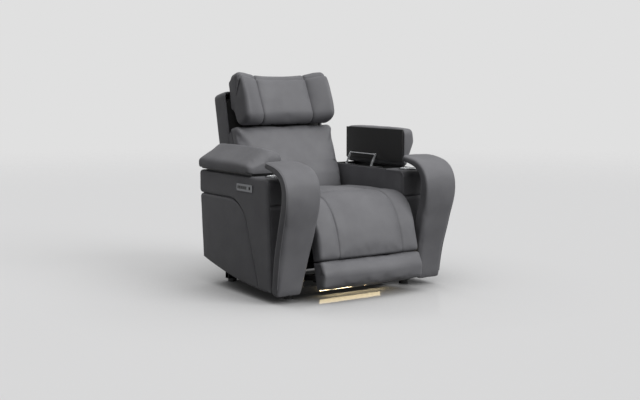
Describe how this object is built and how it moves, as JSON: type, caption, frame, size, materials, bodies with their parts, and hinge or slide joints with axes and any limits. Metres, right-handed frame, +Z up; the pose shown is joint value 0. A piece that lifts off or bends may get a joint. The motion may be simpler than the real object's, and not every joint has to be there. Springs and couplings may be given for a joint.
{
  "type": "cinema recliner seat",
  "caption": "Power recliner seat with wide storage arms, curled bolsters, tilting headrest, fold-out footrest, cup holders and a lit base.",
  "frame": {"origin": "on the floor, under the middle foot of the base frame, in the seat's plane of symmetry", "axes": "+Z up, -Y the way the sitter faces, +X the sitter's left"},
  "size_m": [0.9977, 0.9769, 1.0119],
  "materials": {
    "charcoal_leather": "satin",
    "black_plastic": "satin",
    "black_board": "matte",
    "black_fabric": "matte",
    "bright_steel": "satin",
    "brushed_aluminium": "satin",
    "black_steel": "satin",
    "warm_diffuser": "satin"
  },
  "bodies": {
    "seat_base": {"arm_box_right": "charcoal_leather", "arm_outer_panel_upper_right": "charcoal_leather", "arm_outer_panel_lower_right": "charcoal_leather", "arm_front_pad_right": "charcoal_leather", "bolster_right": "charcoal_leather", "storage_bin_right": "black_plastic", "cup_holder_right": "black_plastic", "cup_ring_right": "bright_steel", "lid_hinge_bases_right": "bright_steel", "arm_box_left": "charcoal_leather", "arm_outer_panel_upper_left": "charcoal_leather", "arm_outer_panel_lower_left": "charcoal_leather", "arm_front_pad_left": "charcoal_leather", "bolster_left": "charcoal_leather", "storage_bin_left": "black_plastic", "cup_holder_left": "black_plastic", "cup_ring_left": "bright_steel", "lid_hinge_bases_left": "bright_steel", "control_bezel": "brushed_aluminium", "usb_port": "black_plastic", "base_frame": "black_steel", "light_channel": "brushed_aluminium", "light_diffuser": "warm_diffuser", "power_unit": "black_plastic", "side_plate_left": "black_steel", "side_plate_right": "black_steel", "cross_tube": "black_steel", "actuator_rail": "black_steel", "actuator_motor": "black_plastic", "back_motor": "black_plastic", "seat_deck": "black_board", "seat_cushion": "charcoal_leather", "seat_front_roll": "charcoal_leather"},
    "back": {"back_shell": "charcoal_leather", "back_liner": "black_fabric", "back_cushion": "charcoal_leather", "back_bracket_left": "black_steel", "back_bracket_right": "black_steel", "headrest_bracket": "black_steel"},
    "headrest": {"headrest_plate": "black_steel", "headrest_cushion": "charcoal_leather"},
    "leg_rest": {"leg_board": "black_board", "leg_pad": "charcoal_leather"},
    "rear_links": {"drive_tube": "black_steel"},
    "front_links": {"front_link_left": "black_steel", "front_link_right": "black_steel"},
    "footrest": {"footrest_board": "black_board", "footrest_pad": "charcoal_leather"},
    "carriage": {"actuator_carriage": "black_steel"},
    "lid_links_right": {"lid_links_right": "bright_steel"},
    "lid_right": {"lid_board_right": "black_board", "lid_pad_right": "charcoal_leather"},
    "lid_links_left": {"lid_links_left": "bright_steel"},
    "lid_left": {"lid_board_left": "black_board", "lid_pad_left": "charcoal_leather"},
    "button_1": {"control_button_1": "black_plastic"},
    "button_2": {"control_button_2": "black_plastic"},
    "button_3": {"control_button_3": "black_plastic"},
    "button_4": {"control_button_4": "black_plastic"}
  },
  "joints": [
    {"name": "back_recline", "type": "hinge", "parent": "seat_base", "child": "back", "pos_m": [0, 0.25, 0.3], "axis": [-1, 0, 0], "range_deg": [0, 45]},
    {"name": "headrest_tilt", "type": "hinge", "parent": "back", "child": "headrest", "pos_m": [0, 0.29435, 0.80685], "axis": [1, 0, 0], "range_deg": [-8, 35]},
    {"name": "leg_rest_lift", "type": "hinge", "parent": "seat_base", "child": "leg_rest", "pos_m": [0, -0.33, 0.336], "axis": [-1, 0, 0], "range_deg": [0, 78], "deforming": ["seat_front_roll"]},
    {"name": "rear_link_swing", "type": "hinge", "parent": "seat_base", "child": "rear_links", "pos_m": [0, -0.19, 0.3], "axis": [-1, 0, 0], "range_deg": [0, 89.76]},
    {"name": "front_link_fold", "type": "hinge", "parent": "rear_links", "child": "front_links", "pos_m": [0, -0.14292, 0.07283], "axis": [1, 0, 0], "range_deg": [0, 77.77]},
    {"name": "footrest_tilt", "type": "hinge", "parent": "front_links", "child": "footrest", "pos_m": [0, -0.37272, 0.1047], "axis": [-1, 0, 0], "range_deg": [0, 66.03]},
    {"name": "carriage_travel", "type": "slide", "parent": "seat_base", "child": "carriage", "axis": [0, -1, 0], "range_m": [0, 0.0777]},
    {"name": "lid_turn_right", "type": "hinge", "parent": "lid_links_right", "child": "lid_right", "pos_m": [-0.431, 0, 0.549], "axis": [0, -1, 0], "range_deg": [0, 147.64]},
    {"name": "lid_link_swing_right", "type": "hinge", "parent": "seat_base", "child": "lid_links_right", "pos_m": [-0.36293, 0, 0.54147], "axis": [0, 1, 0], "range_deg": [0, 57.66]},
    {"name": "lid_turn_left", "type": "hinge", "parent": "lid_links_left", "child": "lid_left", "pos_m": [0.393, 0, 0.603], "axis": [0, -1, 0], "range_deg": [0, 147.64]},
    {"name": "lid_link_swing_left", "type": "hinge", "parent": "seat_base", "child": "lid_links_left", "pos_m": [0.36293, 0, 0.54147], "axis": [0, 1, 0], "range_deg": [0, 57.66]},
    {"name": "button_1_press", "type": "slide", "parent": "seat_base", "child": "button_1", "axis": [1, 0, 0], "range_m": [0, 0.0012], "stiffness_N_per_m": 900},
    {"name": "button_2_press", "type": "slide", "parent": "seat_base", "child": "button_2", "axis": [1, 0, 0], "range_m": [0, 0.0012], "stiffness_N_per_m": 900},
    {"name": "button_3_press", "type": "slide", "parent": "seat_base", "child": "button_3", "axis": [1, 0, 0], "range_m": [0, 0.0012], "stiffness_N_per_m": 900},
    {"name": "button_4_press", "type": "slide", "parent": "seat_base", "child": "button_4", "axis": [1, 0, 0], "range_m": [0, 0.0012], "stiffness_N_per_m": 900}
  ],
  "couplings": [
    {"joint": "rear_link_swing", "follows": "leg_rest_lift", "ratio": 1.1505},
    {"joint": "front_link_fold", "follows": "leg_rest_lift", "ratio": 0.99676},
    {"joint": "footrest_tilt", "follows": "leg_rest_lift", "ratio": 0.84627},
    {"joint": "carriage_travel", "follows": "leg_rest_lift", "m_per_rad": 0.057004},
    {"joint": "lid_link_swing_right", "follows": "lid_turn_right", "ratio": 0.39042},
    {"joint": "lid_link_swing_left", "follows": "lid_turn_left", "ratio": 0.39042}
  ]
}
